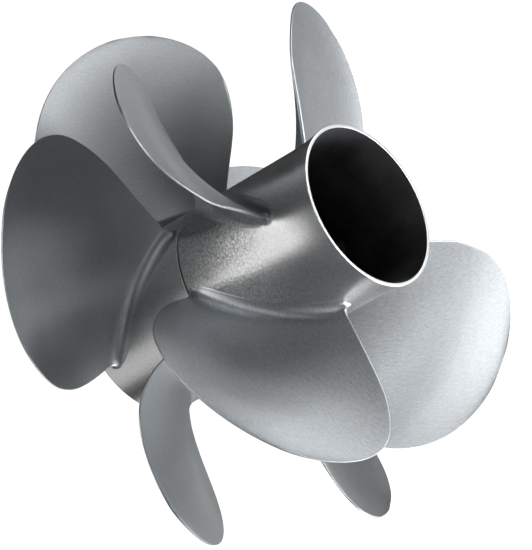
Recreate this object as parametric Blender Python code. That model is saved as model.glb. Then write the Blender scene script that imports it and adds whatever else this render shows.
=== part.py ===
"""A pair of counter-rotating ship propellers on one shaft line, with exhaust outlet through the hubs.

The five-bladed front propeller turns left-handed, the four-bladed rear one right-handed.
+X points ahead along the shaft, +Z up. The origin is on the shaft line, in the plane where
the front propeller's splined sleeve seats on its shaft.
"""

import math

import bmesh
import bpy
import numpy as np

MM = 0.001

# Places along the shaft line, mm ahead of the front sleeve's seat
FRONT_BARREL = (6.0, -93.0)
REAR_BARREL = (-94.2, -225.5)
FRONT_SLEEVE = (0.0, -84.0)
REAR_SLEEVE = (-97.0, -162.0)
SEAT_GAP = 0.3

# Hub barrels, mm
BARREL_RADIUS = 60.2
FRONT_MOUTH_RADIUS = 61.1
OUTLET_RADIUS = 63.2
OUTLET_WALL = 2.8
FLARE_LENGTH = 34.0
FLARE_POWER = 2.2
BARREL_BORE = 55.4
BARREL_SIDES = 60
LIP_LENGTH = 6.0
LIP_RADIUS = 57.4
LIP_RECESS_RADIUS = 58.2
LIP_RECESS_DEPTH = 8.0

# Inner hubs, rubber bushes and splined sleeves, mm
FRONT_CORE = {"hub": (30.5, 36.0), "bush": (27.3, 30.2), "sleeve": 27.0, "spline": (22.0, 24.2), "teeth": 20}
REAR_CORE = {"hub": (25.5, 31.0), "bush": (21.3, 25.2), "sleeve": 21.0, "spline": (15.0, 17.0), "teeth": 16}
HUB_INSET = 2.0
BUSH_INSET = 4.0
CORE_SIDES = 40
THRUST_RING_RADII = (18.0, 26.5)
CHAMFER = 1.0

# Ribs that carry the inner hub in the barrel, mm
RIB_THICKNESS = 6.0
RIB_FLARE = 4.0
RIB_INSET = 8.0

# Blades: one value for each of five stations evenly spaced from the barrel (first) to the tip (last).
# Chord is before the tip is rounded; skew in degrees; place is the middle of the chord along X; pitch in mm;
# thickness is the greatest of a section, edge that of its two edges. The fillet is its radius at the root.
FRONT_BLADE = {
    "count": 5,
    "hand": -1,
    "first_angle": 270.0,
    "barrel": FRONT_BARREL,
    "tip_radius": 206.4,
    "chord": (104.4, 147.5, 195.3, 250, 336.3),
    "skew": (-0.1, 1.1, 4.0, 7.9, 11.8),
    "place": (-45.6, -44.1, -49.7, -59.5, -71.4),
    "pitch": (429, 467, 479, 471, 467),
    "thickness": (9.0, 6.6, 4.8, 3.4, 2.2),
    "edge": (2.0, 1.7, 1.5, 1.5, 1.5),
    "fillet": 9.0,
}
REAR_BLADE = {
    "count": 4,
    "hand": 1,
    "first_angle": 90.0,
    "barrel": REAR_BARREL,
    "tip_radius": 195.2,
    "chord": (111.7, 153.2, 201, 261.8, 359.2),
    "skew": (0.1, -1.0, -4.2, -6.9, -11.2),
    "place": (-139.5, -143.4, -149.2, -160.2, -172.6),
    "pitch": (457.6, 467, 493, 494, 480.4),
    "thickness": (8.6, 6.4, 4.6, 3.3, 2.2),
    "edge": (3.2, 2.6, 1.9, 1.5, 1.5),
    "fillet": 10.5,
}
CAMBER = 0.012
SWELL_POWER = 0.8

# Root fillets: full along the pressure side, slimmer on the suction side and round the edges, and kept
# on the barrel. Rings of points lie at these shares of the fillet's radius above the barrel.
FILLET_SHARES = (0.06, 0.18, 0.45, 1.0)
FILLET_SLIMMING = 0.35
SUCTION_SLIMMING = 0.35
FOLLOW_HEIGHT = 28.0
FOOT_INSET = 0.8

TIP_REACH = 0.9985
SPAN_STEPS = 11
CHORD_STEPS = 12

STEEL = ((0.56, 0.57, 0.585), 0.34, 1.0)
RUBBER = ((0.03, 0.03, 0.032), 0.75, 0.0)
BRONZE = ((0.52, 0.40, 0.22), 0.38, 1.0)


def clear_scene():
    for thing in list(bpy.data.objects):
        bpy.data.objects.remove(thing, do_unlink=True)


def material(name, finish):
    colour, roughness, metallic = finish
    made = bpy.data.materials.new(name)
    made.use_nodes = True
    shader = made.node_tree.nodes["Principled BSDF"]
    shader.inputs["Base Color"].default_value = (*colour, 1.0)
    shader.inputs["Roughness"].default_value = roughness
    shader.inputs["Metallic"].default_value = metallic
    return made


def add_object(name, points, faces, finish, parent, angle=0.0):
    """An object from points in mm, turned by angle degrees about the shaft line."""
    mesh = bpy.data.meshes.new(name)
    mesh.from_pydata([tuple(c * MM for c in p) for p in points], [], faces)
    mesh.validate()
    built = bmesh.new()
    built.from_mesh(mesh)
    bmesh.ops.recalc_face_normals(built, faces=built.faces)
    built.to_mesh(mesh)
    built.free()
    mesh.shade_smooth()
    mesh.set_sharp_from_angle(angle=math.radians(35))
    mesh.materials.append(finish)
    thing = bpy.data.objects.new(name, mesh)
    bpy.context.scene.collection.objects.link(thing)
    thing.parent = parent
    thing.rotation_euler = (math.radians(angle), 0.0, 0.0)
    return thing


def polar(x, radius, degrees):
    turn = math.radians(degrees)
    return (x, radius * math.cos(turn), radius * math.sin(turn))


def bridge(rings, closed=True):
    """Quads between rings of equal length; closed joins the last ring to the first."""
    size = len(rings[0])
    points = [p for ring in rings for p in ring]
    pairs = len(rings) if closed else len(rings) - 1
    faces = []
    for i in range(pairs):
        low, high = i * size, ((i + 1) % len(rings)) * size
        for j in range(size):
            k = (j + 1) % size
            faces.append((low + j, low + k, high + k, high + j))
    return points, faces


def turned(profile, sides):
    """A ring turned about the shaft line from a closed profile of (x, radius)."""
    rings = [[polar(x, r, 360.0 * j / sides) for j in range(sides)] for x, r in profile]
    return bridge(rings)


# Hub barrels
def flare_curve(share):
    """From 0 at the start of the flare to 1 at the outlet, leaving the barrel tangentially."""
    return share**FLARE_POWER


def barrel_radius(x):
    """The outer radius of either barrel at x, where the blades stand on it."""
    front, aft = FRONT_BARREL
    if x > aft:
        return BARREL_RADIUS + (FRONT_MOUTH_RADIUS - BARREL_RADIUS) * (x - aft) / (front - aft)
    start = REAR_BARREL[1] + FLARE_LENGTH
    if x < start:
        return BARREL_RADIUS + (OUTLET_RADIUS - BARREL_RADIUS) * flare_curve((start - x) / FLARE_LENGTH)
    return BARREL_RADIUS


def front_barrel_profile():
    """Anticlockwise from the mouth; a recess at the aft end takes the rear barrel's lip."""
    front, aft = FRONT_BARREL
    return [
        (front, FRONT_MOUTH_RADIUS - CHAMFER),
        (front - CHAMFER, barrel_radius(front - CHAMFER)),
        (aft + CHAMFER / 2, BARREL_RADIUS),
        (aft, BARREL_RADIUS - CHAMFER / 2),
        (aft, LIP_RECESS_RADIUS),
        (aft + LIP_RECESS_DEPTH, LIP_RECESS_RADIUS),
        (aft + LIP_RECESS_DEPTH, BARREL_BORE),
        (front, BARREL_BORE),
    ]


def rear_barrel_profile():
    """The lip runs into the front barrel; the outlet flares to a thin flat rim."""
    front, aft = REAR_BARREL
    lip_end = front + LIP_LENGTH
    steps = 6
    start = aft + FLARE_LENGTH
    shares = [i / steps for i in range(steps + 1)]
    outside = [(start - FLARE_LENGTH * s, barrel_radius(start - FLARE_LENGTH * s)) for s in shares]
    mouth_bore = OUTLET_RADIUS - OUTLET_WALL
    inside = [
        (start - FLARE_LENGTH * s, BARREL_BORE + (mouth_bore - BARREL_BORE) * flare_curve(s))
        for s in reversed(shares)
    ]
    lip = [(lip_end, BARREL_BORE), (lip_end, LIP_RADIUS), (front, LIP_RADIUS)]
    shoulder = [(front, BARREL_RADIUS - CHAMFER / 2), (front - CHAMFER / 2, BARREL_RADIUS)]
    return lip + shoulder + outside + inside


# Cores: inner hub, rubber bush, splined sleeve, ribs and thrust ring
def plain_ring(front, aft, inner, outer):
    return [
        (front, inner + CHAMFER),
        (front, outer - CHAMFER),
        (front - CHAMFER, outer),
        (aft + CHAMFER, outer),
        (aft, outer - CHAMFER),
        (aft, inner + CHAMFER),
        (aft + CHAMFER, inner),
        (front - CHAMFER, inner),
    ]


def splined_sleeve(front, aft, outer, spline, teeth):
    """A sleeve whose bore has straight-sided teeth; both outlines have four points a tooth."""
    minor, major = spline
    pitch = 360.0 / teeth
    shares = ((-0.30, major), (-0.18, minor), (0.18, minor), (0.30, major))
    bore = [(tooth * pitch + share * pitch, radius) for tooth in range(teeth) for share, radius in shares]
    rings = [
        [polar(front, outer, turn) for turn, _ in bore],
        [polar(aft, outer, turn) for turn, _ in bore],
        [polar(aft, radius, turn) for turn, radius in bore],
        [polar(front, radius, turn) for turn, radius in bore],
    ]
    return bridge(rings)


def rib(front, aft, inner, outer):
    """A straight plate along the shaft, flared where it meets the inner hub and the barrel."""
    half = RIB_THICKNESS / 2
    span = outer - inner
    stations = (
        (0.0, half + RIB_FLARE),
        (0.07, half + RIB_FLARE * 0.4),
        (0.22, half),
        (0.78, half),
        (0.93, half + RIB_FLARE * 0.4),
        (1.0, half + RIB_FLARE),
    )
    side = [(inner + span * share, wide) for share, wide in stations]
    outline = [(r, wide) for r, wide in side] + [(outer, 0.0)] + [(r, -wide) for r, wide in reversed(side)]
    outline.append((inner, 0.0))
    ends = ((front, 0.55), (front - RIB_THICKNESS / 2, 1.0), (aft + RIB_THICKNESS / 2, 1.0), (aft, 0.55))
    rings = []
    for x, share in ends:
        ring = [polar(x, r, math.degrees(math.asin(wide * share / r))) for r, wide in outline]
        rings.append(ring)
    points, faces = bridge(rings, closed=False)
    size = len(outline)
    for first in (0, size * (len(rings) - 1)):
        cap = list(range(first, first + size))
        half_count = len(side)
        for i in range(half_count - 1):
            faces.append((cap[i], cap[i + 1], cap[2 * half_count - 1 - i], cap[2 * half_count - i]))
        faces.append((cap[0], cap[2 * half_count], cap[2 * half_count + 1]))
        faces.append((cap[half_count - 1], cap[half_count], cap[half_count + 1]))
    return points, faces


# Blades
def along(values, share):
    """A smooth curve through evenly spaced values, at share 0 to 1 of their length."""
    last = len(values) - 1
    slopes = np.gradient(np.array(values, float))
    slopes[0] = (-3 * values[0] + 4 * values[1] - values[2]) / 2
    slopes[-1] = (3 * values[-1] - 4 * values[-2] + values[-3]) / 2
    place = min(max(share, 0.0), 1.0) * last
    i = min(int(place), last - 1)
    t = place - i
    start, end = values[i], values[i + 1]
    return (
        (2 * t**3 - 3 * t**2 + 1) * start
        + (t**3 - 2 * t**2 + t) * slopes[i]
        + (3 * t**2 - 2 * t**3) * end
        + (t**3 - t**2) * slopes[i + 1]
    )


def section_outline(chord, thickness, edge):
    """Points (towards the leading edge, towards the suction side) round one blade section, and their bow.

    The pressure side is slightly hollow, all thickness is on the suction side, and both edges are
    rounded. The bow grows from 0 at both edges to 1 in the middle.
    """
    camber = CAMBER * chord
    flat = max(chord - edge, chord / 2)
    suction, pressure, bows = [], [], []
    for i in range(CHORD_STEPS + 1):
        place = math.cos(math.pi * i / CHORD_STEPS)
        bow = 1 - place**2
        ahead = place * flat / 2
        pressure.append((ahead, camber * bow))
        suction.append((ahead, camber * bow + edge + (thickness - edge) * bow**SWELL_POWER))
        bows.append(bow)
    nose = (chord / 2, edge / 2)
    tail = (-chord / 2, edge / 2)
    return [nose] + suction + [tail] + pressure[::-1], [0.0] + bows + [0.0] + bows[::-1]


def outward_normals(outline):
    """Unit normals of a closed outline that runs from the nose along the suction side."""
    points = np.array(outline)
    steps = np.roll(points, -1, axis=0) - points
    steps /= np.maximum(np.linalg.norm(steps, axis=1, keepdims=True), 1e-9)
    normals = np.stack([steps[:, 1], -steps[:, 0]], axis=1)
    mean = normals + np.roll(normals, 1, axis=0)
    return mean / np.maximum(np.linalg.norm(mean, axis=1, keepdims=True), 1e-9)


def fillet_reach(radius, height, bow, suction):
    """How far the root fillet stands out of the section at this height above the barrel.

    Suction is 1 where the section faces its suction side, 0 where it faces away from it.
    """
    if height >= radius:
        return 0.0
    reach = radius - math.sqrt(radius**2 - (radius - height) ** 2)
    return reach * (1 - FILLET_SLIMMING * (1 - bow) ** 6) * (1 - SUCTION_SLIMMING * suction)


def blade_ring(blade, height):
    """The section's points in space, at this height above the barrel."""
    share = height / (blade["tip_radius"] - BARREL_RADIUS)
    radius = BARREL_RADIUS + height
    chord = along(blade["chord"], share) * math.sqrt(1 - share**2)
    outline, bows = section_outline(chord, along(blade["thickness"], share), along(blade["edge"], share))
    normals = outward_normals(outline)
    fillet = blade["fillet"]
    reach = [[fillet_reach(fillet, height, bow, max(across, 0.0))] for bow, (_, across) in zip(bows, normals)]
    helix = math.atan2(along(blade["pitch"], share), 2 * math.pi * radius)
    middle = along(blade["place"], share)
    hand = blade["hand"]
    follow = max(0.0, 1 - height / FOLLOW_HEIGHT)
    front, aft = blade["barrel"]
    ring = []
    for ahead, across in np.array(outline) + normals * np.array(reach):
        x = middle + ahead * math.sin(helix) + across * math.cos(helix)
        if height < fillet:
            x = min(max(x, aft + FOOT_INSET), front - FOOT_INSET)
        arc = hand * (ahead * math.cos(helix) - across * math.sin(helix))
        turn = along(blade["skew"], share) + math.degrees(arc / radius)
        ring.append(polar(x, radius + (barrel_radius(x) - BARREL_RADIUS) * follow, turn))
    return ring


def cap(points, first, size):
    """Close a section with faces that meet on a middle line, which keeps the foot clear of the barrel."""
    suction = [first + 1 + i for i in range(CHORD_STEPS + 1)]
    pressure = [first + size - 1 - i for i in range(CHORD_STEPS + 1)]
    middle = [len(points) + i for i in range(CHORD_STEPS + 1)]
    for a, b in zip(suction, pressure):
        x, y, z = ((u + v) / 2 for u, v in zip(points[a], points[b]))
        reach = math.hypot(*points[a][1:]) / math.hypot(y, z)
        points.append((x, y * reach, z * reach))
    tail = first + CHORD_STEPS + 2
    faces = []
    for side in (suction, pressure):
        faces.append((first, side[0], middle[0]))
        faces.append((tail, side[-1], middle[-1]))
        for i in range(CHORD_STEPS):
            faces.append((side[i], side[i + 1], middle[i + 1], middle[i]))
    return faces


def blade_shape(blade):
    full = blade["tip_radius"] - BARREL_RADIUS
    first = blade["fillet"] / full
    spread = [math.sin(math.pi / 2 * i / SPAN_STEPS) for i in range(1, SPAN_STEPS + 1)]
    heights = [blade["fillet"] * share for share in FILLET_SHARES]
    heights += [full * (first + (TIP_REACH - first) * s) for s in spread]
    rings = [blade_ring(blade, height) for height in heights]
    points, faces = bridge(rings, closed=False)
    size = len(rings[0])
    return points, faces + cap(points, 0, size) + cap(points, size * (len(rings) - 1), size)


def propeller(name, blade, barrel_profile, core, sleeve, finishes):
    """One propeller: barrel, blades, inner hub, ribs, bush and splined sleeve, on one empty."""
    steel, rubber, bronze = finishes
    axis = bpy.data.objects.new(f"{name}_axis", None)
    bpy.context.scene.collection.objects.link(axis)
    count = blade["count"]
    add_object(f"{name}_hub_barrel", *turned(barrel_profile, BARREL_SIDES), steel, axis)
    shape = blade_shape(blade)
    for i in range(count):
        turn = blade["first_angle"] + 360.0 * i / count
        add_object(f"{name}_blade_{i + 1}", *shape, steel, axis, turn)
    front, aft = sleeve
    inner, outer = core["hub"]
    hub = plain_ring(front - HUB_INSET, aft + HUB_INSET, inner, outer)
    add_object(f"{name}_inner_hub", *turned(hub, CORE_SIDES), steel, axis)
    ribs = rib(front - RIB_INSET, aft + RIB_INSET, outer + SEAT_GAP, BARREL_BORE - SEAT_GAP)
    for i in range(count):
        turn = blade["first_angle"] + 360.0 * (i + 0.5) / count
        add_object(f"{name}_rib_{i + 1}", *ribs, steel, axis, turn)
    bush = plain_ring(front - BUSH_INSET, aft + BUSH_INSET, *core["bush"])
    add_object(f"{name}_rubber_bush", *turned(bush, CORE_SIDES), rubber, axis)
    splined = splined_sleeve(front, aft, core["sleeve"], core["spline"], core["teeth"])
    add_object(f"{name}_splined_sleeve", *splined, bronze, axis)
    return axis


def main():
    clear_scene()
    steel = material("cast_steel", STEEL)
    rubber = material("bush_rubber", RUBBER)
    bronze = material("sleeve_bronze", BRONZE)
    finishes = (steel, rubber, bronze)
    propeller("front", FRONT_BLADE, front_barrel_profile(), FRONT_CORE, FRONT_SLEEVE, finishes)
    rear = propeller("rear", REAR_BLADE, rear_barrel_profile(), REAR_CORE, REAR_SLEEVE, finishes)
    ring = plain_ring(FRONT_SLEEVE[1] - SEAT_GAP, REAR_SLEEVE[0] + SEAT_GAP, *THRUST_RING_RADII)
    add_object("thrust_ring", *turned(ring, CORE_SIDES), bronze, rear)


main()
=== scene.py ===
"""Looks for a pair of counter-rotating ship propellers in cast stainless steel.

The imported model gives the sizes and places. Every piece made here takes the place of one or more
of its solids: the blades, ribs and spline bores by Geometry Nodes, the turned pieces by a profile
spun about the shaft line. Lengths are in mm until a mesh gets its points, but the studio's are in
metres. +X points ahead along the shaft line, +Z up, and angles run from +Y towards +Z.
"""

import math

import bmesh
import bpy
import numpy as np
from mathutils import Matrix, Vector


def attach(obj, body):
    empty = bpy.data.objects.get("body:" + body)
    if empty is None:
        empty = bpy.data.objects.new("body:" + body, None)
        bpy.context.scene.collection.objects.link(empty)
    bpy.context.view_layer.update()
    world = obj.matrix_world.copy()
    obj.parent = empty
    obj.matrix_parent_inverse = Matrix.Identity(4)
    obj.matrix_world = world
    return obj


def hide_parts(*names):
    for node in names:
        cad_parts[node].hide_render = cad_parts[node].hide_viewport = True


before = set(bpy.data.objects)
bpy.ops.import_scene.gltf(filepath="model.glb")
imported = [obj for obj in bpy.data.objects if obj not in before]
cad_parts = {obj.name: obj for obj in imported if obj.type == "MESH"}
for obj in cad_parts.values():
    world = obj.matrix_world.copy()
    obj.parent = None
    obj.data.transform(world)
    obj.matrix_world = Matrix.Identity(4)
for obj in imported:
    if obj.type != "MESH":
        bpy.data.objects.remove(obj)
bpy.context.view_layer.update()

MM = 0.001

# The camera fitted to the photograph: mm and degrees, and the clipping distances in metres
CAMERA_TARGET = (-154.4, 48.1, 17.9)
CAMERA_AZIMUTH = 219.08
CAMERA_ELEVATION = 22.55
CAMERA_ROLL = 47.23
CAMERA_DISTANCE = 3534.6
CAMERA_LENS = 327.28
SENSOR_WIDTH = 36.0
CAMERA_CLIP = (0.1, 50.0)

# Turned profiles: the number of a face's finish, and how corners are rounded
OUTSIDE, FACE, INSIDE = 0, 1, 2
ARC_STEPS = 5
HOLDING_SHARE = 0.6

# Hub barrels: ends along the shaft line (ahead, aft), radii, and the roundings of their corners
FRONT_BARREL = (6.0, -93.0)
REAR_BARREL = (-94.2, -225.5)
BARREL_RADIUS = 60.2
FRONT_MOUTH_RADIUS = 61.1
OUTLET_RADIUS = 63.2
OUTLET_WALL = 2.8
FLARE_LENGTH = 34.0
FLARE_POWER = 2.2
BARREL_BORE = 55.4
LIP_LENGTH = 6.0
LIP_RADIUS = 57.4
LIP_RECESS_RADIUS = 58.2
LIP_RECESS_DEPTH = 8.0
MOUTH_ROUNDING = 0.8
RIM_ROUNDING = 0.5
SEAM_ROUNDING = 0.35
LIP_ROUNDING = 0.3
RECESS_ROUNDING = 0.2
FLARE_STEPS = 18
BARREL_SIDES = 320

# Inner hubs, rubber bushes and splined sleeves: ends, and radii from inside to outside
FRONT_SLEEVE = (0.0, -84.0)
REAR_SLEEVE = (-97.0, -162.0)
SEAT_GAP = 0.3
FRONT_CORE = {
    "hub": (30.5, 36.0),
    "bush": (27.3, 30.2),
    "sleeve": 27.0,
    "spline": (22.0, 24.2),
    "teeth": 20,
}
REAR_CORE = {
    "hub": (25.5, 31.0),
    "bush": (21.3, 25.2),
    "sleeve": 21.0,
    "spline": (15.0, 17.0),
    "teeth": 16,
}
HUB_INSET = 2.0
BUSH_INSET = 4.0
THRUST_RING_RADII = (18.0, 26.5)
CORE_SIDES = 160
CORNER = 1.0
TOOTH_STEPS = 16
TOOTH_STEEPNESS = 2.6
SLEEVE_BEVEL = 0.8
SHARP_ANGLE = math.radians(35.0)

# Ribs that carry the inner hub in the barrel
RIB_THICKNESS = 6.0
RIB_FLARE = 4.0
RIB_FLARE_SHARE = 0.16
RIB_INSET = 8.0
RIB_STEPS = 20
RIB_END_STEPS = 6

# Blades. A list has a value for each of five stations, evenly spaced from the barrel to the tip.
# Chord is before the tip is rounded; skew is in degrees; place is the middle of the chord along X.
# A hand of 1 is right-handed. The flare is the barrel's: start and length aft, growth, and power.
FRONT_BLADE = {
    "count": 5,
    "hand": -1.0,
    "first_angle": 270.0,
    "barrel": FRONT_BARREL,
    "flare": (FRONT_BARREL[1], FRONT_BARREL[1] - FRONT_BARREL[0], FRONT_MOUTH_RADIUS - BARREL_RADIUS, 1.0),
    "tip_radius": 206.4,
    "chord": (104.4, 147.5, 195.3, 250, 336.3),
    "skew": (-0.1, 1.1, 4.0, 7.9, 11.8),
    "place": (-45.6, -44.1, -49.7, -59.5, -71.4),
    "pitch": (429, 467, 479, 471, 467),
    "thickness": (9.0, 6.6, 4.8, 3.4, 2.2),
    "edge": (2.0, 1.7, 1.5, 1.5, 1.5),
    "fillet": 9.0,
}
REAR_BLADE = {
    "count": 4,
    "hand": 1.0,
    "first_angle": 90.0,
    "barrel": REAR_BARREL,
    "flare": (REAR_BARREL[1] + FLARE_LENGTH, FLARE_LENGTH, OUTLET_RADIUS - BARREL_RADIUS, FLARE_POWER),
    "tip_radius": 195.2,
    "chord": (111.7, 153.2, 201, 261.8, 359.2),
    "skew": (0.1, -1.0, -4.2, -6.9, -11.2),
    "place": (-139.5, -143.4, -149.2, -160.2, -172.6),
    "pitch": (457.6, 467, 493, 494, 480.4),
    "thickness": (8.6, 6.4, 4.6, 3.3, 2.2),
    "edge": (3.2, 2.6, 1.9, 1.5, 1.5),
    "fillet": 10.5,
}
CAMBER = 0.012
SWELL_POWER = 0.8
FILLET_SLIMMING = 0.35
FILLET_SLIMMING_POWER = 6.0
SUCTION_SLIMMING = 0.35
FOLLOW_HEIGHT = 28.0
FOOT_INSET = 0.8
FOOT_SINK = 0.05
FOOT_DEPTH = 1.2
TIP_EDGE = 0.5
FILLET_STEPS = 10
SPAN_STEPS = 64
SIDE_STEPS = 48
NOSE_STEPS = 10

# Points closer than this are one point: metres
MERGE_DISTANCE = 2e-6

# Finishes: sRGB colours (dull, bright)
# The front blades' steel is the rear blades' steel made darker: painted shade
FRONT_STEEL_SHADED = ("#999C9F", "#C2C6C8")
REAR_STEEL = ("#A5A8AB", "#D1D6DA")
BARREL_STEEL = ("#AEAEAE", "#EFEFEF")
# The turned faces are painted near white: painted highlight
RIM_HIGHLIGHT_STEEL = ("#D4D6D8", "#F6F7F8")
# The bore, ribs and inner hubs are painted dark: painted shade
BORE_SHADE_STEEL = ("#4C4D4F", "#86888B")
BRONZE = ("#8E6E3C", "#CDAA6E")
RUBBER = ("#121213", "#26272A")

# Finishes: sizes of patterns in mm
GRIT_SIZE = 1.3
DENT_SIZE = 1.7
CLOUD_SIZE = 26.0
LATHE_FEED = 0.5
SAND_GRAIN = 2.2
# Size of the patches of painted shade in the bore
SHADE_PATCH_SIZE = 22.0
BROACH_CUT = (30.0, 0.8, 0.8)
TARNISH_SIZE = 9.0
BLOOM_SIZE = 7.0
MOULD_GRAIN = 0.9

# Finishes: so small a size across the section that each side of a blade has streaks of its own
STREAK_ACROSS = 0.02

# Finishes: heights above the barrel in mm between which the brushing belt starts to reach the blade
BELT_REACH = (6.0, 13.0)

# Finishes: strength of the blast at two places along the shaft line (aft, ahead)
FRONT_BLAST = ((-93.0, 0.45), (6.0, 0.35))
REAR_BLAST = ((-185.0, 0.4), (-140.0, 1.0))

# Finishes: what a part of the surface adds to the shade (0 dull, 1 bright) or to the roughness
DENT_SHADE = 1.8
# The blade edges are painted brighter: painted highlight
EDGE_HIGHLIGHT_SHADE = 0.5
ROOT_ROUGHNESS = -0.08
EDGE_ROUGHNESS = -0.12

# Studio: metres. A softbox has a name, a direction, a width and height, and its watts. Directions are
# (right, up, towards the camera) of the photograph's view, from the light centre.
SWEEP_COLOUR = "#F6F6F6"
SWEEP_ROUGHNESS = 0.9
SWEEP_GLOW = 1.1
SWEEP_RADIUS = 9.0
SWEEP_SIDES = 96
SWEEP_STEPS = 24
FLOOR_LEVEL = -0.9
ROOM_COLOUR = "#FFFFFF"
ROOM_GLOW = 0.027
LIGHT_CENTRE = (-0.12, 0.0, 0.0)
LIGHT_DISTANCE = 2.6
SOFTBOXES = (
    ("strip_right", (0.92, 0.38, 0.05), (0.9, 2.2), 34.4),
    ("key_right", (0.93, 0.2, 0.3), (1.1, 1.1), 14.4),
    ("top_right", (0.55, 0.8, -0.05), (1.3, 1.0), 10.3),
    ("front_right", (0.75, 0.05, 0.65), (1.6, 1.6), 1.9),
    ("strip_left", (-0.9, -0.1, 0.42), (1.4, 2.2), 10.3),
    ("left_high", (-0.85, 0.3, 0.4), (1.1, 1.1), 13.3),
    ("left_low", (-0.75, -0.5, 0.4), (1.4, 1.1), 1.9),
    ("left_edge", (-0.97, 0.15, 0.1), (0.6, 0.6), 2.4),
    ("front_high", (0.68, 0.5, 0.53), (0.7, 0.7), 2.8),
    ("front_left", (-0.45, 0.15, 0.88), (1.6, 1.6), 4.4),
    ("front_low", (0.2, -0.55, 0.8), (1.4, 1.4), 5.8),
    ("bottom_left", (-0.5, -0.8, 0.25), (1.4, 1.4), 4.0),
    ("bottom", (0.1, -0.9, -0.4), (1.4, 1.1), 6.1),
    ("bottom_right", (0.45, -0.87, -0.2), (1.4, 1.1), 18.9),
    ("behind_right", (0.7, -0.63, -0.34), (2.0, 2.0), 47.5),
    ("behind", (0.24, 0.16, -0.96), (0.8, 0.8), 3.0),
    ("behind_high", (0.65, 0.04, -0.76), (0.7, 0.7), 1.0),
)


def linear(hex_colour):
    """An sRGB hex colour as linear RGBA."""
    values = [int(hex_colour[i : i + 2], 16) / 255 for i in (1, 3, 5)]
    return (*[v / 12.92 if v <= 0.04045 else ((v + 0.055) / 1.055) ** 2.4 for v in values], 1.0)


def add(tree, kind, inputs=(), **settings):
    """Add a node, set its properties, then its inputs: a socket is linked, any other value is set."""
    node = tree.nodes.new(kind)
    for name, value in settings.items():
        setattr(node, name, value)
    for key, value in dict(inputs).items():
        socket = node.inputs[key]
        if isinstance(value, bpy.types.NodeSocket):
            tree.links.new(value, socket)
        else:
            socket.default_value = value
    return node


def placed(name, data):
    """A new object with this data, in the scene."""
    thing = bpy.data.objects.new(name, data)
    bpy.context.scene.collection.objects.link(thing)
    return thing


# Meshes
def polar(x, radius, degrees):
    turn = math.radians(degrees)
    return (x, radius * math.cos(turn), radius * math.sin(turn))


def mesh_object(name, points, faces):
    """An object from points in mm, with smooth faces that point outwards."""
    mesh = bpy.data.meshes.new(name)
    mesh.from_pydata([tuple(c * MM for c in p) for p in points], [], faces)
    mesh.validate()
    mesh.shade_smooth()
    return placed(name, mesh)


def rounded(corners):
    """A closed profile from corners (x, radius, rounding, finish), each rounded by an arc.

    A rounding of 0 leaves a corner as it is. The finish of a corner is that of the face that runs on
    from it. A point just past each end of an arc keeps the smooth shading of the long faces flat.
    """
    profile = []
    count = len(corners)
    for i, (x, r, rounding, finish) in enumerate(corners):
        here = Vector((x, r))
        before = (Vector(corners[i - 1][:2]) - here).normalized()
        after = (Vector(corners[(i + 1) % count][:2]) - here).normalized()
        if rounding == 0:
            profile.append((x, r, finish))
            continue
        half = before.angle(after) / 2
        inset = rounding / math.tan(half)
        centre = here + (before + after).normalized() * rounding / math.sin(half)
        start = here + before * inset - centre
        end = here + after * inset - centre
        profile.append((*(centre + start + before * HOLDING_SHARE * rounding), corners[i - 1][3]))
        for k in range(ARC_STEPS + 1):
            spoke = start.lerp(end, k / ARC_STEPS).normalized() * rounding
            which = finish if k >= ARC_STEPS / 2 else corners[i - 1][3]
            profile.append((*(centre + spoke), which))
        profile.append((*(centre + end + after * HOLDING_SHARE * rounding), finish))
    return profile


def turned(name, corners, sides, materials):
    """A ring turned about the shaft line from a closed profile of corners."""
    profile = rounded(corners)
    size = len(profile)
    points = [polar(x, r, 360.0 * j / sides) for j in range(sides) for x, r, _ in profile]
    faces, finishes = [], []
    for j in range(sides):
        low, high = j * size, (j + 1) % sides * size
        for i in range(size):
            k = (i + 1) % size
            faces.append((low + i, low + k, high + k, high + i))
            finishes.append(profile[i][2])
    thing = mesh_object(name, points, faces)
    for material in materials:
        thing.data.materials.append(material)
    thing.data.polygons.foreach_set("material_index", finishes)
    return thing


# Geometry Nodes
def new_tree(name, sizes):
    """A geometry tree with a Geometry socket at both ends and these named inputs."""
    tree = bpy.data.node_groups.new(name, "GeometryNodeTree")
    tree.interface.new_socket("Geometry", in_out="INPUT", socket_type="NodeSocketGeometry")
    for label, kind in sizes:
        tree.interface.new_socket(label, in_out="INPUT", socket_type="NodeSocket" + kind)
    tree.interface.new_socket("Geometry", in_out="OUTPUT", socket_type="NodeSocketGeometry")
    return tree, tree.nodes.new("NodeGroupInput").outputs


def end_tree(tree, geometry, material):
    """Every tree ends the same way: instances made real, then the material."""
    real = add(tree, "GeometryNodeRealizeInstances", {"Geometry": geometry})
    coated = add(tree, "GeometryNodeSetMaterial", {"Geometry": real.outputs[0], "Material": material})
    add(tree, "NodeGroupOutput", {0: coated.outputs[0]})


def formula(tree, known, steps):
    """Maths nodes from steps (result, operation, terms); a term is a number or the name of a value."""
    for result, operation, *terms in steps:
        inputs = {i: known[term] if isinstance(term, str) else term for i, term in enumerate(terms)}
        known[result] = add(tree, "ShaderNodeMath", inputs, operation=operation).outputs[0]


def grown(name, carrier, tree, values):
    """The mesh that the tree makes of the carrier with these inputs, as a plain object."""
    modifier = carrier.modifiers.new(tree.name, "NODES")
    modifier.node_group = tree
    for item in tree.interface.items_tree:
        if item.in_out == "INPUT" and item.name in values:
            modifier[item.identifier] = values[item.name]
    carrier.update_tag()
    evaluated = carrier.evaluated_get(bpy.context.evaluated_depsgraph_get())
    mesh = bpy.data.meshes.new_from_object(evaluated)
    carrier.modifiers.remove(modifier)
    mesh.name = name
    return placed(name, mesh)


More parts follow.
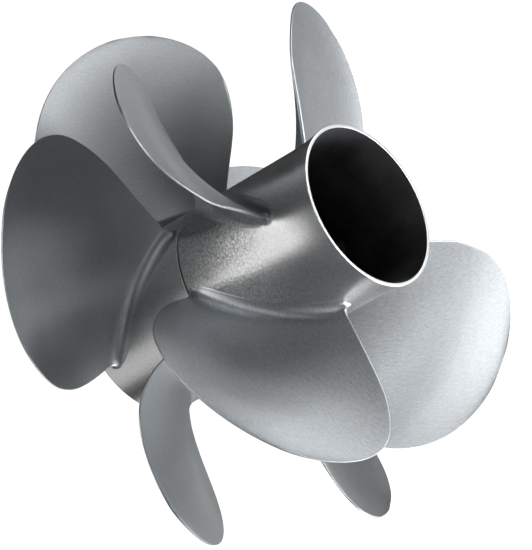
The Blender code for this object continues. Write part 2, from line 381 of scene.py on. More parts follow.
def blade_tree():
    """One blade: a grid whose columns run round the section and whose rows run from foot to tip.

    The geometry that comes in is the spine, one point a row; the Section object has one point a column.
    """
    sizes = [("Section", "Object"), ("Material", "Material"), ("Columns", "Int"), ("Rows", "Int")]
    labels = (
        "Hand", "Turn", "Barrel radius", "Barrel front", "Barrel aft",
        "Flare start", "Flare length", "Flare growth", "Flare power",
        "Swell power", "Fillet slimming", "Suction slimming", "Follow height",
    )
    tree, given = new_tree("propeller_blade", sizes + [(label, "Float") for label in labels])
    known = {label: given[label] for label in labels + ("Columns", "Rows")}
    formula(tree, known, (
        ("columns across", "ADD", "Columns", 1.0),
        ("rows up", "SUBTRACT", "Rows", 1.0),
    ))
    grid = add(tree, "GeometryNodeMeshGrid", {
        "Size X": given["Columns"], "Size Y": known["rows up"],
        "Vertices X": known["columns across"], "Vertices Y": given["Rows"],
    })
    flat = add(tree, "ShaderNodeSeparateXYZ", {0: add(tree, "GeometryNodeInputPosition").outputs[0]})
    known.update({"grid x": flat.outputs[0], "grid y": flat.outputs[1]})
    formula(tree, known, (
        ("column", "MULTIPLY_ADD", "Columns", 0.5, "grid x"),
        ("row", "MULTIPLY_ADD", "rows up", 0.5, "grid y"),
        ("column", "ROUND", "column"),
        ("row", "ROUND", "row"),
    ))
    section = add(tree, "GeometryNodeObjectInfo", {"Object": given["Section"]})
    sources = (
        (section.outputs["Geometry"], "column", None, ("chord share", "round ahead", "round across")),
        (given["Geometry"], "row", "size", ("half flat", "half edge", "reach")),
        (given["Geometry"], "row", "form", ("hollow", "swell", "edge middle")),
        (given["Geometry"], "row", "lie", ("place", "skew", "helix")),
        (given["Geometry"], "row", "rise", ("height", "tip nearness")),
    )
    for geometry, index, attribute, names in sources:
        if attribute:
            value = add(
                tree, "GeometryNodeInputNamedAttribute", {"Name": attribute}, data_type="FLOAT_VECTOR",
            )
        else:
            value = add(tree, "GeometryNodeInputPosition")
        sample = add(
            tree, "GeometryNodeSampleIndex",
            {"Geometry": geometry, "Value": value.outputs[0], "Index": known[index]},
            data_type="FLOAT_VECTOR",
        )
        split = add(tree, "ShaderNodeSeparateXYZ", {0: sample.outputs[0]})
        known.update(zip(names, split.outputs))
    formula(tree, known, (
        ("square", "MULTIPLY", "chord share", "chord share"),
        ("bow", "SUBTRACT", 1.0, "square"),
        ("slim", "POWER", "square", FILLET_SLIMMING_POWER),
        ("slim", "MULTIPLY", "slim", "Fillet slimming"),
        ("slim", "SUBTRACT", 1.0, "slim"),
        ("fillet", "MULTIPLY", "reach", "slim"),
        ("suction", "MAXIMUM", "round across", 0.0),
        ("slim", "MULTIPLY", "suction", "Suction slimming"),
        ("slim", "SUBTRACT", 1.0, "slim"),
        ("fillet", "MULTIPLY", "fillet", "slim"),
        ("round", "ADD", "half edge", "fillet"),
        ("ahead", "MULTIPLY", "chord share", "half flat"),
        ("ahead", "MULTIPLY_ADD", "round ahead", "round", "ahead"),
        ("swelling", "POWER", "bow", "Swell power"),
        ("swelling", "MULTIPLY", "swelling", "swell"),
        ("swelling", "MULTIPLY", "swelling", "suction"),
        ("across", "MULTIPLY_ADD", "round across", "round", "edge middle"),
        ("across", "MULTIPLY_ADD", "hollow", "bow", "across"),
        ("across", "ADD", "across", "swelling"),
        ("sine", "SINE", "helix"),
        ("cosine", "COSINE", "helix"),
        ("x", "MULTIPLY_ADD", "ahead", "sine", "place"),
        ("x", "MULTIPLY_ADD", "across", "cosine", "x"),
        ("x", "MINIMUM", "x", "Barrel front"),
        ("x", "MAXIMUM", "x", "Barrel aft"),
        ("arc back", "MULTIPLY", "across", "sine"),
        ("arc", "MULTIPLY", "ahead", "cosine"),
        ("arc", "SUBTRACT", "arc", "arc back"),
        ("arc", "MULTIPLY", "arc", "Hand"),
        ("radius", "ADD", "height", "Barrel radius"),
        ("turn", "DIVIDE", "arc", "radius"),
        ("turn", "ADD", "turn", "skew"),
        ("turn", "ADD", "turn", "Turn"),
        ("flare", "SUBTRACT", "Flare start", "x"),
        ("flare", "DIVIDE", "flare", "Flare length"),
        ("flare", "MAXIMUM", "flare", 0.0),
        ("flare", "POWER", "flare", "Flare power"),
        ("flare", "MULTIPLY", "flare", "Flare growth"),
        ("follow", "DIVIDE", "height", "Follow height"),
        ("follow", "SUBTRACT", 1.0, "follow"),
        ("follow", "MAXIMUM", "follow", 0.0),
        ("radius", "MULTIPLY_ADD", "flare", "follow", "radius"),
        ("turn cosine", "COSINE", "turn"),
        ("turn sine", "SINE", "turn"),
        ("y", "MULTIPLY", "radius", "turn cosine"),
        ("z", "MULTIPLY", "radius", "turn sine"),
        ("edge", "ABSOLUTE", "round ahead"),
        ("edge", "MAXIMUM", "edge", "tip nearness"),
        ("left-handed", "LESS_THAN", "Hand", 0.0),
    ))
    place = add(tree, "ShaderNodeCombineXYZ", {i: known[axis] for i, axis in enumerate("xyz")})
    metres = add(tree, "ShaderNodeVectorMath", {0: place.outputs[0], "Scale": MM}, operation="SCALE")
    lie = add(tree, "ShaderNodeCombineXYZ", {0: known["ahead"], 1: known["height"], 2: known["round across"]})
    marks = (
        ("grain", lie.outputs[0], "FLOAT_VECTOR"),
        ("edge", known["edge"], "FLOAT"),
    )
    shape = grid.outputs["Mesh"]
    for name, value, kind in marks:
        shape = add(
            tree, "GeometryNodeStoreNamedAttribute", {"Geometry": shape, "Name": name, "Value": value},
            data_type=kind, domain="POINT",
        ).outputs[0]
    shape = add(tree, "GeometryNodeSetPosition", {"Geometry": shape, "Position": metres.outputs[0]})
    shape = add(
        tree, "GeometryNodeMergeByDistance", {"Geometry": shape.outputs[0], "Distance": MERGE_DISTANCE},
    )
    shape = add(tree, "GeometryNodeFlipFaces", {"Mesh": shape.outputs[0], "Selection": known["left-handed"]})
    shape = add(tree, "GeometryNodeSetShadeSmooth", {"Geometry": shape.outputs[0], "Shade Smooth": True})
    end_tree(tree, shape.outputs[0], given["Material"])
    return tree


def repeat_tree():
    """Copies of the incoming shape, evenly turned about the shaft line and joined where they meet."""
    tree, given = new_tree("repeat_round_shaft", [
        ("Count", "Int"), ("First turn", "Float"), ("Material", "Material"),
    ])
    index = add(tree, "GeometryNodeInputIndex").outputs[0]
    known = {"Count": given["Count"], "First turn": given["First turn"], "index": index}
    formula(tree, known, (
        ("turn", "DIVIDE", 2 * math.pi, "Count"),
        ("turn", "MULTIPLY_ADD", "index", "turn", "First turn"),
    ))
    places = add(tree, "GeometryNodeMeshLine", {"Count": given["Count"], "Offset": (0.0, 0.0, 0.0)})
    turn = add(tree, "ShaderNodeCombineXYZ", {0: known["turn"]})
    copies = add(tree, "GeometryNodeInstanceOnPoints", {
        "Points": places.outputs[0], "Instance": given["Geometry"], "Rotation": turn.outputs[0],
    })
    real = add(tree, "GeometryNodeRealizeInstances", {"Geometry": copies.outputs[0]})
    joined = add(
        tree, "GeometryNodeMergeByDistance", {"Geometry": real.outputs[0], "Distance": MERGE_DISTANCE},
    )
    end_tree(tree, joined.outputs[0], given["Material"])
    return tree


# Blades
def along(values, share):
    """A smooth curve through evenly spaced values, at share 0 to 1 of their length."""
    last = len(values) - 1
    slopes = np.gradient(np.array(values, float))
    slopes[0] = (-3 * values[0] + 4 * values[1] - values[2]) / 2
    slopes[-1] = (3 * values[-1] - 4 * values[-2] + values[-3]) / 2
    place = min(max(share, 0.0), 1.0) * last
    i = min(int(place), last - 1)
    t = place - i
    start, end = values[i], values[i + 1]
    return (
        (2 * t**3 - 3 * t**2 + 1) * start
        + (t**3 - 2 * t**2 + t) * slopes[i]
        + (3 * t**2 - 2 * t**3) * end
        + (t**3 - t**2) * slopes[i + 1]
    )


def section_object():
    """One point a column round a blade section: share of the chord, and the rounding's direction."""
    half_turn = [math.pi * i / NOSE_STEPS for i in range(NOSE_STEPS + 1)]
    side = [math.cos(math.pi * i / SIDE_STEPS) for i in range(1, SIDE_STEPS)]
    nose = [(1.0, math.sin(a), -math.cos(a)) for a in half_turn]
    suction = [(c, 0.0, 1.0) for c in side]
    tail = [(-1.0, -math.sin(a), math.cos(a)) for a in half_turn]
    pressure = [(-c, 0.0, -1.0) for c in side]
    points = nose + suction + tail + pressure
    mesh = bpy.data.meshes.new("blade_section")
    mesh.from_pydata(points + points[:1], [], [])
    return placed("blade_section", mesh), len(points)


def spine_object(name, blade):
    """One point for each row of a blade, which carries the sizes of its section there."""
    full = blade["tip_radius"] - BARREL_RADIUS
    fillet = blade["fillet"]
    rows = [(-FOOT_DEPTH, fillet, 0.0), (-FOOT_DEPTH, fillet, 1.0)]
    for i in range(FILLET_STEPS + 1):
        bend = math.pi / 2 * i / FILLET_STEPS
        height = fillet * (1 - math.cos(bend)) - FOOT_SINK * math.cos(bend)
        rows.append((height, fillet * (1 - math.sin(bend)), 1.0))
    start = math.asin(fillet / full)
    for i in range(1, SPAN_STEPS + 1):
        rows.append((full * math.sin(start + (math.pi / 2 - start) * i / SPAN_STEPS), 0.0, 1.0))
    columns = {"size": [], "form": [], "lie": [], "rise": []}
    for height, reach, body in rows:
        share = min(max(height / full, 0.0), 1.0)
        thickness = along(blade["thickness"], share)
        half_edge = along(blade["edge"], share) / 2
        depth = min((1 - share) * full / half_edge, 1.0)
        tip = body * math.sqrt(1 - (1 - depth) ** 2)
        edge = half_edge * tip
        chord = along(blade["chord"], share) * math.sqrt(1 - share**2)
        helix = math.atan2(along(blade["pitch"], share), 2 * math.pi * (BARREL_RADIUS + height))
        skew = math.radians(along(blade["skew"], share))
        tip_nearness = 1 - min((1 - share) * full / TIP_EDGE, 1.0)
        columns["size"].append((max(chord / 2 - edge, 0.0), edge, reach * body))
        columns["form"].append((CAMBER * chord, (thickness - 2 * half_edge) * tip, half_edge))
        columns["lie"].append((along(blade["place"], share), skew, helix))
        columns["rise"].append((height, tip_nearness, 0.0))
    mesh = bpy.data.meshes.new(name)
    mesh.from_pydata([(0.0, 0.0, row[0]) for row in rows], [], [])
    for label, values in columns.items():
        mesh.attributes.new(label, "FLOAT_VECTOR", "POINT").data.foreach_set("vector", np.ravel(values))
    return placed(name, mesh), len(rows)


def make_blades(name, blade, tree, section, columns, material):
    """A propeller's blades, each with the solid that it stands for."""
    spine, rows = spine_object(f"{name}_blade_spine", blade)
    front, aft = blade["barrel"]
    start, length, growth, power = blade["flare"]
    blades = []
    for i in range(blade["count"]):
        turn = math.radians(blade["first_angle"] + 360.0 * i / blade["count"])
        piece = grown(f"{name}_blade_{i + 1}_cast", spine, tree, {
            "Section": section, "Material": material, "Columns": columns, "Rows": rows,
            "Hand": blade["hand"], "Turn": turn, "Barrel radius": BARREL_RADIUS,
            "Barrel front": front - FOOT_INSET, "Barrel aft": aft + FOOT_INSET,
            "Flare start": start, "Flare length": length, "Flare growth": growth, "Flare power": power,
            "Swell power": SWELL_POWER, "Fillet slimming": FILLET_SLIMMING,
            "Suction slimming": SUCTION_SLIMMING, "Follow height": FOLLOW_HEIGHT,
        })
        blades.append((piece, [f"{name}_blade_{i + 1}"], "satin_steel"))
    bpy.data.objects.remove(spine)
    return blades


# Turned pieces
def front_barrel_corners():
    """From the mouth's outer corner aft along the outside, and back through the bore."""
    front, aft = FRONT_BARREL
    return [
        (front, FRONT_MOUTH_RADIUS, MOUTH_ROUNDING, OUTSIDE),
        (aft, BARREL_RADIUS, SEAM_ROUNDING, FACE),
        (aft, LIP_RECESS_RADIUS, RECESS_ROUNDING, INSIDE),
        (aft + LIP_RECESS_DEPTH, LIP_RECESS_RADIUS, RECESS_ROUNDING, INSIDE),
        (aft + LIP_RECESS_DEPTH, BARREL_BORE, LIP_ROUNDING, INSIDE),
        (front, BARREL_BORE, RIM_ROUNDING, FACE),
    ]


def flaring(radius, growth, finish):
    """The run of the outlet's flare from a radius, without the corner at its end."""
    start = REAR_BARREL[1] + FLARE_LENGTH
    shares = [i / FLARE_STEPS for i in range(FLARE_STEPS)]
    return [(start - FLARE_LENGTH * s, radius + growth * s**FLARE_POWER, 0, finish) for s in shares]


def rear_barrel_corners():
    """The lip runs into the front barrel; the outlet flares to a thin flat rim with a turned face."""
    front, aft = REAR_BARREL
    mouth_bore = OUTLET_RADIUS - OUTLET_WALL
    lip = [
        (front + LIP_LENGTH, BARREL_BORE, LIP_ROUNDING, INSIDE),
        (front + LIP_LENGTH, LIP_RADIUS, LIP_ROUNDING, INSIDE),
        (front, LIP_RADIUS, RECESS_ROUNDING, INSIDE),
        (front, BARREL_RADIUS, SEAM_ROUNDING, OUTSIDE),
    ]
    rim = [(aft, OUTLET_RADIUS, RIM_ROUNDING, FACE), (aft, mouth_bore, RIM_ROUNDING, INSIDE)]
    outside = flaring(BARREL_RADIUS, OUTLET_RADIUS - BARREL_RADIUS, OUTSIDE)
    inside = flaring(BARREL_BORE, mouth_bore - BARREL_BORE, INSIDE)
    return lip + outside + rim + inside[::-1]


def ring_corners(front, aft, inner, outer):
    """A plain ring, which has one finish all over."""
    around = ((front, inner), (front, outer), (aft, outer), (aft, inner))
    return [(x, radius, CORNER, OUTSIDE) for x, radius in around]


# Pieces that repeat round the shaft
def tooth_sector(name, front, aft, outer, spline, teeth):
    """One tooth of a splined sleeve with its share of the wall, about +Y: a ring of points, swept round."""
    minor, major = spline
    bevel = SLEEVE_BEVEL
    points = []
    for i in range(TOOTH_STEPS + 1):
        share = i / TOOTH_STEPS - 0.5
        wave = min(max(TOOTH_STEEPNESS * math.cos(2 * math.pi * share), -1.0), 1.0)
        bore = (major + minor) / 2 - (major - minor) / 2 * wave
        outline = [
            (front - bevel, bore), (front, bore + bevel), (front, outer - bevel), (front - bevel, outer),
            (aft + bevel, outer), (aft, outer - bevel), (aft, bore + bevel), (aft + bevel, bore),
        ]
        points += [polar(x, r, share * 360.0 / teeth) for x, r in outline]
    size = len(outline)
    faces = []
    for i in range(TOOTH_STEPS):
        for j in range(size):
            k = (j + 1) % size
            faces.append((i * size + j, i * size + k, (i + 1) * size + k, (i + 1) * size + j))
    return mesh_object(name, points, faces)


def rib_plate(name, front, aft, inner, outer):
    """One rib about +Y: a plate along the shaft with round ends, flared to the inner hub and the barrel."""
    half = RIB_THICKNESS / 2
    arc = [math.pi / 2 * i / RIB_END_STEPS for i in range(RIB_END_STEPS + 1)]
    nose = [(front - half + half * math.sin(a), math.cos(a)) for a in reversed(arc)]
    tail = [(aft + half - half * math.sin(a), math.cos(a)) for a in arc]
    side = nose + tail
    ring = side + [(x, -share) for x, share in reversed(side[1:-1])]
    size, last = len(ring), len(side) - 1
    points = []
    for i in range(RIB_STEPS + 1):
        share = i / RIB_STEPS
        flare = max(0.0, 1 - min(share, 1 - share) / RIB_FLARE_SHARE) ** 2
        radius = inner + (outer - inner) * share
        wide = half + RIB_FLARE * flare
        points += [polar(x, radius, math.degrees(math.asin(wide * part / radius))) for x, part in ring]
    faces = []
    for low in range(0, RIB_STEPS * size, size):
        for j in range(size):
            k = (j + 1) % size
            faces.append((low + j, low + k, low + size + k, low + size + j))
    for low, radius in ((0, inner), (RIB_STEPS * size, outer)):
        middle = [low, *range(len(points), len(points) + last - 1), low + last]
        points += [polar(x, radius, 0.0) for x, _ in side[1:-1]]
        for turn in (1, -1):
            rim = [low + turn * j % size for j in range(last + 1)]
            for j in range(last):
                corners = dict.fromkeys((rim[j], rim[j + 1], middle[j + 1], middle[j]))
                faces.append(tuple(corners))
    thing = mesh_object(name, points, faces)
    form = bmesh.new()
    form.from_mesh(thing.data)
    bmesh.ops.recalc_face_normals(form, faces=form.faces)
    form.to_mesh(thing.data)
    form.free()
    return thing


def make_core(name, blade, core, sleeve, tree, finishes):
    """Inner hub, ribs, rubber bush and splined sleeve, each with the solids that it stands for."""
    front, aft = sleeve
    count = blade["count"]
    inner, outer = core["hub"]
    hub_profile = ring_corners(front - HUB_INSET, aft + HUB_INSET, inner, outer)
    hub = turned(f"{name}_inner_hub_cast", hub_profile, CORE_SIDES, [finishes["bore"]])
    bush_profile = ring_corners(front - BUSH_INSET, aft + BUSH_INSET, *core["bush"])
    bush = turned(f"{name}_bush_moulded", bush_profile, CORE_SIDES, [finishes["rubber"]])
    ends = (front - RIB_INSET, aft + RIB_INSET)
    plate = rib_plate(f"{name}_rib", *ends, outer + SEAT_GAP, BARREL_BORE - SEAT_GAP)
    tooth = tooth_sector(f"{name}_tooth", front, aft, core["sleeve"], core["spline"], core["teeth"])
    first_rib = math.radians(blade["first_angle"] + 180.0 / count)
    ribs = grown(f"{name}_ribs_cast", plate, tree, {
        "Count": count, "First turn": first_rib, "Material": finishes["bore"],
    })
    splined = grown(f"{name}_sleeve_broached", tooth, tree, {
        "Count": core["teeth"], "First turn": 0.0, "Material": finishes["bronze"],
    })
    bpy.data.objects.remove(plate)
    bpy.data.objects.remove(tooth)
    for thing in (ribs, splined):
        thing.data.set_sharp_from_angle(angle=SHARP_ANGLE)
    return [
        (hub, [f"{name}_inner_hub"], "satin_steel"),
        (ribs, [f"{name}_rib_{i + 1}" for i in range(count)], "satin_steel"),
        (bush, [f"{name}_rubber_bush"], "bush_rubber"),
        (splined, [f"{name}_splined_sleeve"], "sleeve_bronze"),
    ]


# Materials
def new_material(name):
    material = bpy.data.materials.new(name)
    material.use_nodes = True
    tree = material.node_tree
    return material, tree, tree.nodes["Principled BSDF"]


def noise(tree, place, size, detail=2.0, lean=0.0):
    """A cloudy pattern from 0 to 1 whose patches are size mm across.

    The size is one number, or one for each direction; the lean turns the first direction towards the
    second, in degrees.
    """
    sizes = size if isinstance(size, tuple) else (size,) * 3
    spot = add(tree, "ShaderNodeMapping", {
        "Vector": place, "Rotation": (0.0, 0.0, math.radians(lean)), "Scale": sizes,
    }, vector_type="TEXTURE")
    pattern = add(tree, "ShaderNodeTexNoise", {"Vector": spot.outputs[0], "Scale": 1.0, "Detail": detail})
    return pattern.outputs[0]


def spread(tree, start, *parts):
    """The start value plus, for each part (pattern, amount), the amount times (pattern - 0.5)."""
    total = start - sum(amount for _, amount in parts) / 2
    for pattern, amount in parts:
        inputs = {0: pattern, 1: amount, 2: total}
        total = add(tree, "ShaderNodeMath", inputs, operation="MULTIPLY_ADD").outputs[0]
    return total


def in_millimetres(tree):
    place = add(tree, "ShaderNodeTexCoord").outputs["Object"]
    return add(tree, "ShaderNodeVectorMath", {0: place, "Scale": 1 / MM}, operation="SCALE").outputs[0]


def set_surface(tree, shader, colours, shade, roughness, height, depth, metallic=1.0):
    """A colour that runs between two by the shade; the height pattern dents the surface by depth mm."""
    ends = {0: shade, 6: linear(colours[0]), 7: linear(colours[1])}
    colour = add(tree, "ShaderNodeMix", ends, data_type="RGBA").outputs[2]
    bump = add(tree, "ShaderNodeBump", {"Height": height, "Distance": depth * MM, "Strength": 1.0})
    tree.links.new(colour, shader.inputs["Base Color"])
    tree.links.new(roughness, shader.inputs["Roughness"])
    tree.links.new(bump.outputs[0], shader.inputs["Normal"])
    shader.inputs["Metallic"].default_value = metallic


def blade_steel(name, colours, mark, lean, contrast, depth):
    """Cast stainless steel, bead-blasted and then brushed with an abrasive belt.

    To the eye: a satin grey with soft streaks along the brushing, and an edge that the belt polished
    and that is painted brighter as a highlight. The belt doesn't reach the suction side near the root,
    so the barrel's mottled blasting goes
    on there. The mark is a streak's (length, width) in mm, drawn wider than a real one so that it shows;
    it leans by so many degrees from the chord towards the tip. The contrast is how far the streaks shade
    the metal, and the depth that of its scratches in mm.
    """
    material, tree, shader = new_material(name)
    lie = add(tree, "ShaderNodeAttribute", attribute_name="grain").outputs["Vector"]
    edge = add(tree, "ShaderNodeAttribute", attribute_name="edge").outputs["Fac"]
    height, side = add(tree, "ShaderNodeSeparateXYZ", {0: lie}).outputs[1:]
    root = add(tree, "ShaderNodeMapRange", {
        "Value": height, "From Min": BELT_REACH[0], "From Max": BELT_REACH[1], "To Min": 1.0, "To Max": 0.0,
    }, interpolation_type="SMOOTHSTEP").outputs[0]
    streaks = noise(tree, lie, (*mark, STREAK_ACROSS), 3.0, lean)
    grit = noise(tree, lie, GRIT_SIZE)
    clouds = noise(tree, lie, CLOUD_SIZE, 3.0)
    known = {
        "root": root,
        "edge": edge,
        "side": side,
        "dents": noise(tree, in_millimetres(tree), DENT_SIZE, 1.0),
        "shade": spread(tree, 0.5, (streaks, contrast), (grit, 0.8), (clouds, 0.25)),
        "roughness": spread(tree, 0.48, (streaks, 0.12), (clouds, 0.06)),
    }
    formula(tree, known, (
        ("blasted", "MULTIPLY", "root", "side"),
        ("blasted", "MAXIMUM", "blasted", 0.0),
        ("dents", "SUBTRACT", "dents", 0.5),
        ("dents", "MULTIPLY", "dents", "blasted"),
        ("edge", "SUBTRACT", "edge", "root"),
        ("edge", "MAXIMUM", "edge", 0.0),
        ("shade", "MULTIPLY_ADD", "dents", DENT_SHADE, "shade"),
        # The edge is painted brighter: painted highlight
        ("shade", "MULTIPLY_ADD", "edge", EDGE_HIGHLIGHT_SHADE, "shade"),
        ("roughness", "MULTIPLY_ADD", "edge", EDGE_ROUGHNESS, "roughness"),
        ("roughness", "MULTIPLY_ADD", "root", ROOT_ROUGHNESS, "roughness"),
    ))
    scratches = spread(tree, 0.0, (streaks, 1.0), (grit, 0.8))
    set_surface(tree, shader, colours, known["shade"], known["roughness"], scratches, depth)
    return material


def barrel_steel(name, blast):
    """Cast stainless steel, bead-blasted: a satin grey, mottled where the blast was strongest.

    A bead's dent is about 0.3 mm across, and is drawn larger than that so that it shows.
    """
    material, tree, shader = new_material(name)
    place = in_millimetres(tree)
    along_shaft = add(tree, "ShaderNodeSeparateXYZ", {0: place}).outputs[0]
    (aft, weak), (ahead, strong) = blast
    strength = add(tree, "ShaderNodeMapRange", {
        "Value": along_shaft, "From Min": aft, "From Max": ahead, "To Min": weak, "To Max": strong,
    }, interpolation_type="SMOOTHSTEP").outputs[0]
    dents = noise(tree, place, DENT_SIZE, 1.0)
    clouds = noise(tree, place, CLOUD_SIZE, 3.0)
    roughness = spread(tree, 0.31, (dents, 0.10), (clouds, 0.06))
    known = {"dents": dents, "strength": strength, "shade": spread(tree, 0.5, (clouds, 0.2))}
    formula(tree, known, (
        ("dents", "SUBTRACT", "dents", 0.5),
        ("dents", "MULTIPLY", "dents", "strength"),
        ("shade", "MULTIPLY_ADD", "dents", DENT_SHADE, "shade"),
    ))
    set_surface(tree, shader, BARREL_STEEL, known["shade"], roughness, known["dents"], depth=0.14)
    return material


def turned_steel():
    """Stainless steel faced on a lathe and polished: a ring painted near white as a highlight, with faint
    lines round the shaft.
    """
    material, tree, shader = new_material("polished_turned_steel_painted_highlight")
    place = in_millimetres(tree)
    across = {0: place, 1: (0.0, 1.0, 1.0)}
    flat = add(tree, "ShaderNodeVectorMath", across, operation="MULTIPLY").outputs[0]
    radius = add(tree, "ShaderNodeVectorMath", {0: flat}, operation="LENGTH").outputs["Value"]
    spot = add(tree, "ShaderNodeCombineXYZ", {0: radius}).outputs[0]
    rings = noise(tree, spot, LATHE_FEED)
    clouds = noise(tree, place, CLOUD_SIZE)
    # The shade sits near the bright colour: painted highlight
    shade = spread(tree, 0.8, (rings, 0.3), (clouds, 0.2))
    roughness = spread(tree, 0.34, (rings, 0.08), (clouds, 0.06))
    set_surface(tree, shader, RIM_HIGHLIGHT_STEEL, shade, roughness, rings, depth=0.004)
    return material


def bore_steel():
    """Stainless steel as cast in a sand core, painted dark for the shade inside the bore: rough, dark and
    uneven, with patches of painted shade.
    """
    material, tree, shader = new_material("shade_darkened_cast_bore")
    place = in_millimetres(tree)
    sand = noise(tree, place, SAND_GRAIN)
    # Patches of painted shade, darker and lighter at random
    shade_patches = noise(tree, place, SHADE_PATCH_SIZE, 3.0)
    shade = spread(tree, 0.4, (shade_patches, 0.9), (sand, 0.3))
    roughness = spread(tree, 0.6, (shade_patches, 0.12), (sand, 0.1))
    set_surface(tree, shader, BORE_SHADE_STEEL, shade, roughness, sand, depth=0.12)
    return material


def sleeve_bronze():
    """Aluminium bronze, turned and broached: a warm yellow with fine cutting lines along the shaft."""
    material, tree, shader = new_material("machined_sleeve_bronze")
    place = in_millimetres(tree)
    cuts = noise(tree, place, BROACH_CUT)
    tarnish = noise(tree, place, TARNISH_SIZE, 3.0)
    shade = spread(tree, 0.5, (tarnish, 0.8), (cuts, 0.3))
    roughness = spread(tree, 0.32, (tarnish, 0.14), (cuts, 0.1))
    set_surface(tree, shader, BRONZE, shade, roughness, cuts, depth=0.01)
    return material


def moulded_rubber():
    """Nitrile rubber from a mould: black, matt, faintly mottled with bloom."""
    material, tree, shader = new_material("moulded_nitrile_rubber")
    place = in_millimetres(tree)
    bloom = noise(tree, place, BLOOM_SIZE, 3.0)
    skin = noise(tree, place, MOULD_GRAIN)
    roughness = spread(tree, 0.68, (bloom, 0.14))
    set_surface(tree, shader, RUBBER, bloom, roughness, skin, depth=0.03, metallic=0.0)
    return material


# Stage
def camera_axes():
    """The camera's right, up and back directions."""
    azimuth = math.radians(CAMERA_AZIMUTH)
    elevation = math.radians(CAMERA_ELEVATION)
    roll = math.radians(CAMERA_ROLL)
    ahead = math.cos(elevation)
    back = Vector((math.sin(azimuth) * ahead, -math.cos(azimuth) * ahead, math.sin(elevation)))
    level = Vector((math.cos(azimuth), math.sin(azimuth), 0.0))
    raised = back.cross(level)
    up = raised * math.cos(roll) + level * math.sin(roll)
    return up.cross(back), up, back


def make_camera():
    right, up, back = camera_axes()
    data = bpy.data.cameras.new("photo_camera")
    data.sensor_width = SENSOR_WIDTH
    data.lens = CAMERA_LENS
    data.clip_start, data.clip_end = CAMERA_CLIP
    camera = placed("photo_camera", data)
    place = (Vector(CAMERA_TARGET) + back * CAMERA_DISTANCE) * MM
    camera.matrix_world = Matrix.Translation(place) @ Matrix((right, up, back)).transposed().to_4x4()
    bpy.context.scene.camera = camera


def make_sweep():
    """A pale floor under a pale round backdrop.

    Both glow a little, as a lit white sweep does, and only the camera sees them.
    """
    tone, _, shader = new_material("white_sweep")
    shader.inputs["Base Color"].default_value = linear(SWEEP_COLOUR)
    shader.inputs["Roughness"].default_value = SWEEP_ROUGHNESS
    shader.inputs["Emission Color"].default_value = linear(SWEEP_COLOUR)
    shader.inputs["Emission Strength"].default_value = SWEEP_GLOW
    floor, reach = FLOOR_LEVEL / MM, SWEEP_RADIUS / MM
    points = [(0.0, 0.0, floor), (0.0, 0.0, floor + reach)]
    for i in range(SWEEP_STEPS):
        tilt = math.pi / 2 * i / SWEEP_STEPS
        radius, height = reach * math.cos(tilt), floor + reach * math.sin(tilt)
        for j in range(SWEEP_SIDES):
            turn = 2 * math.pi * j / SWEEP_SIDES
            points.append((radius * math.cos(turn), radius * math.sin(turn), height))
    floor_faces, dome_faces = [], []
    top = 2 + (SWEEP_STEPS - 1) * SWEEP_SIDES
    for j in range(SWEEP_SIDES):
        k = (j + 1) % SWEEP_SIDES
        floor_faces.append((0, 2 + j, 2 + k))
        for low in range(2, top, SWEEP_SIDES):
            high = low + SWEEP_SIDES
            dome_faces.append((low + j, high + j, high + k, low + k))
        dome_faces.append((1, top + k, top + j))
    for name, faces in (("studio_floor", floor_faces), ("studio_backdrop", dome_faces)):
        thing = mesh_object(name, points, faces)
        thing.data.materials.append(tone)
        for ray in ("visible_diffuse", "visible_glossy", "visible_shadow", "visible_transmission"):
            setattr(thing, ray, False)


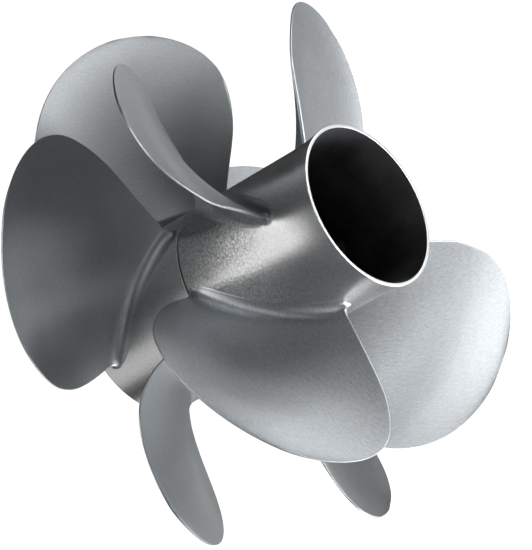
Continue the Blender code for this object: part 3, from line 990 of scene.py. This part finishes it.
def make_lights():
    """Softboxes that face the light centre, and a dim room."""
    right, up, back = camera_axes()
    centre = Vector(LIGHT_CENTRE)
    for name, (across, rise, towards), size, power in SOFTBOXES:
        direction = (right * across + up * rise + back * towards).normalized()
        level = up.cross(direction).normalized()
        turn = Matrix((level, direction.cross(level), direction)).transposed().to_4x4()
        data = bpy.data.lights.new(name, "AREA")
        data.shape = "ELLIPSE"
        data.size, data.size_y = size
        data.energy = power
        light = placed(name, data)
        light.matrix_world = Matrix.Translation(centre + direction * LIGHT_DISTANCE) @ turn
    world = bpy.data.worlds.new("dim_room")
    world.use_nodes = True
    room = world.node_tree.nodes["Background"]
    room.inputs["Color"].default_value = linear(ROOM_COLOUR)
    room.inputs["Strength"].default_value = ROOM_GLOW
    bpy.context.scene.world = world
    bpy.context.scene.view_settings.view_transform = "Standard"


def main():
    make_camera()
    finishes = {
        "turned": turned_steel(),
        "bore": bore_steel(),
        "bronze": sleeve_bronze(),
        "rubber": moulded_rubber(),
    }
    brushing = {
        "front": blade_steel(
            # The front blades' colours are darker than the rear's: painted shade
            "long_brushed_steel", FRONT_STEEL_SHADED, mark=(14.0, 1.2), lean=15.0, contrast=0.5, depth=0.06,
        ),
        "rear": blade_steel(
            "short_brushed_steel", REAR_STEEL, mark=(5.0, 1.5), lean=125.0, contrast=0.9, depth=0.07,
        ),
    }
    blasting = {
        "front": barrel_steel("lightly_blasted_barrel_steel", FRONT_BLAST),
        "rear": barrel_steel("blasted_barrel_steel", REAR_BLAST),
    }
    section, columns = section_object()
    blade_form = blade_tree()
    repeated = repeat_tree()
    propellers = (
        ("front", FRONT_BLADE, front_barrel_corners(), FRONT_CORE, FRONT_SLEEVE),
        ("rear", REAR_BLADE, rear_barrel_corners(), REAR_CORE, REAR_SLEEVE),
    )
    for name, blade, corners, core, sleeve in propellers:
        barrel_finishes = [blasting[name], finishes["turned"], finishes["bore"]]
        barrel = turned(f"{name}_barrel_cast", corners, BARREL_SIDES, barrel_finishes)
        pieces = [(barrel, [f"{name}_hub_barrel"], "satin_steel")]
        pieces += make_blades(name, blade, blade_form, section, columns, brushing[name])
        pieces += make_core(name, blade, core, sleeve, repeated, finishes)
        if name == "rear":
            ends = (FRONT_SLEEVE[1] - SEAT_GAP, REAR_SLEEVE[0] + SEAT_GAP)
            ring = ring_corners(*ends, *THRUST_RING_RADII)
            washer = turned("thrust_ring_turned", ring, CORE_SIDES, [finishes["bronze"]])
            pieces.append((washer, ["thrust_ring"], "sleeve_bronze"))
        for piece, nodes, slot in pieces:
            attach(piece, f"{name}_propeller")
            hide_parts(*nodes)
    bpy.data.objects.remove(section)
    make_sweep()
    make_lights()


main()
